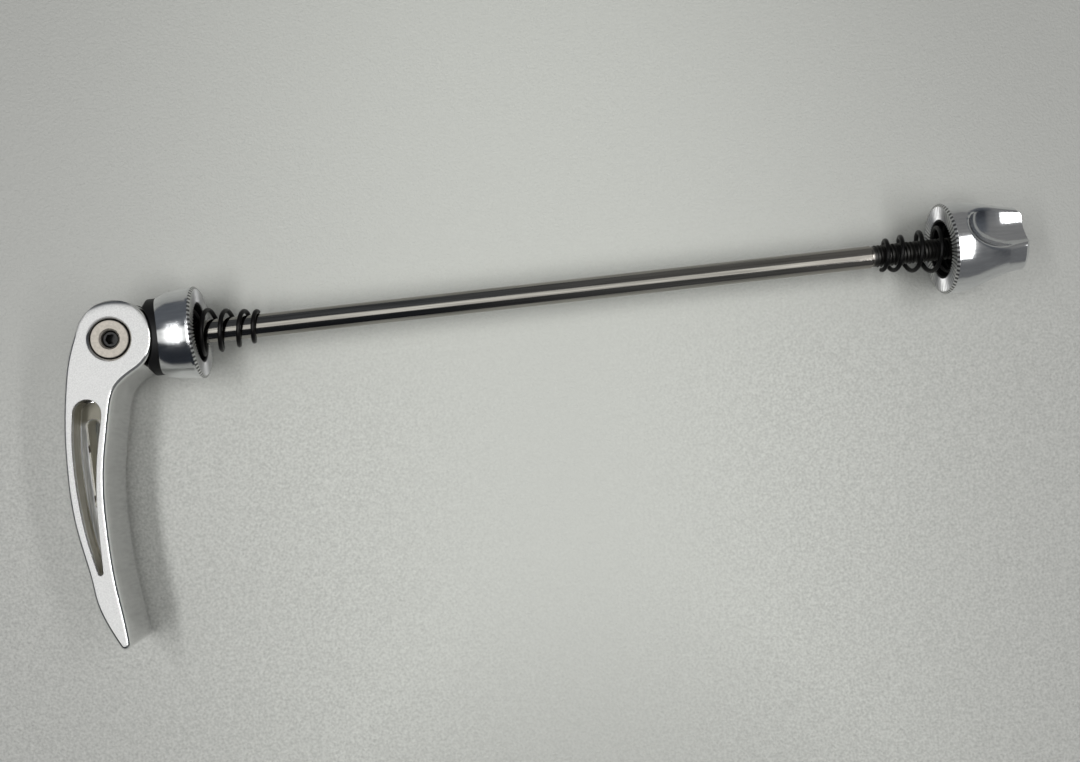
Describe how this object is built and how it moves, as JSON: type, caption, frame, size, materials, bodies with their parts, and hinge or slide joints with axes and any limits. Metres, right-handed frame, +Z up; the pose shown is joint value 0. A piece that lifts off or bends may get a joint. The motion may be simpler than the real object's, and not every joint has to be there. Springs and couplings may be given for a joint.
{
  "type": "quick release skewer",
  "caption": "Quick release skewer for a hollow bicycle axle: a steel rod with a forked cam lever and serrated cup at one end, a serrated adjusting nut at the other, and two conical springs.",
  "frame": {"origin": "centre of the clamp washer's serrated face, on the rod's axis", "axes": "+X along the rod from the lever to the nut, -Y along the closed lever's arm, +Z up along the lever's pivot"},
  "size_m": [0.2071, 0.0739, 0.0198],
  "materials": {
    "rod_steel": "drawn steel with a black threaded end",
    "turned_steel": "turned steel",
    "black_steel": "blackened steel",
    "satin_aluminium": "satin forged aluminium with polished edges",
    "polished_aluminium": "polished aluminium",
    "black_plastic": "moulded nylon"
  },
  "bodies": {
    "rod": {"skewer_rod": "rod_steel", "pivot_barrel": "turned_steel", "barrel_lock_screw": "black_steel"},
    "lever": {"lever": "satin_aluminium"},
    "washer": {"cam_seat": "black_plastic", "clamp_washer": "polished_aluminium", "lever_spring": "black_steel"},
    "nut_side_spring": {"nut_spring": "black_steel"},
    "nut": {"adjusting_nut": "polished_aluminium", "nut_insert": "black_plastic"}
  },
  "joints": [
    {"name": "lever_pivot", "type": "hinge", "parent": "rod", "child": "lever", "pos_m": [-0.0172, 0, 0], "axis": [0, 0, -1], "range_deg": [0, 142]},
    {"name": "washer_slide", "type": "slide", "parent": "rod", "child": "washer", "axis": [1, 0, 0], "range_m": [0, 0.118]},
    {"name": "nut_travel", "type": "slide", "parent": "rod", "child": "nut_side_spring", "axis": [1, 0, 0], "range_m": [-0.0128, 0.0048]},
    {"name": "nut_spin", "type": "hinge", "parent": "nut_side_spring", "child": "nut", "pos_m": [0.1613, 0, 0], "axis": [1, 0, 0], "range_deg": [-5760, 2160]}
  ],
  "couplings": [
    {"joint": "nut_travel", "follows": "nut_spin", "m_per_rad": 0.00012732}
  ]
}
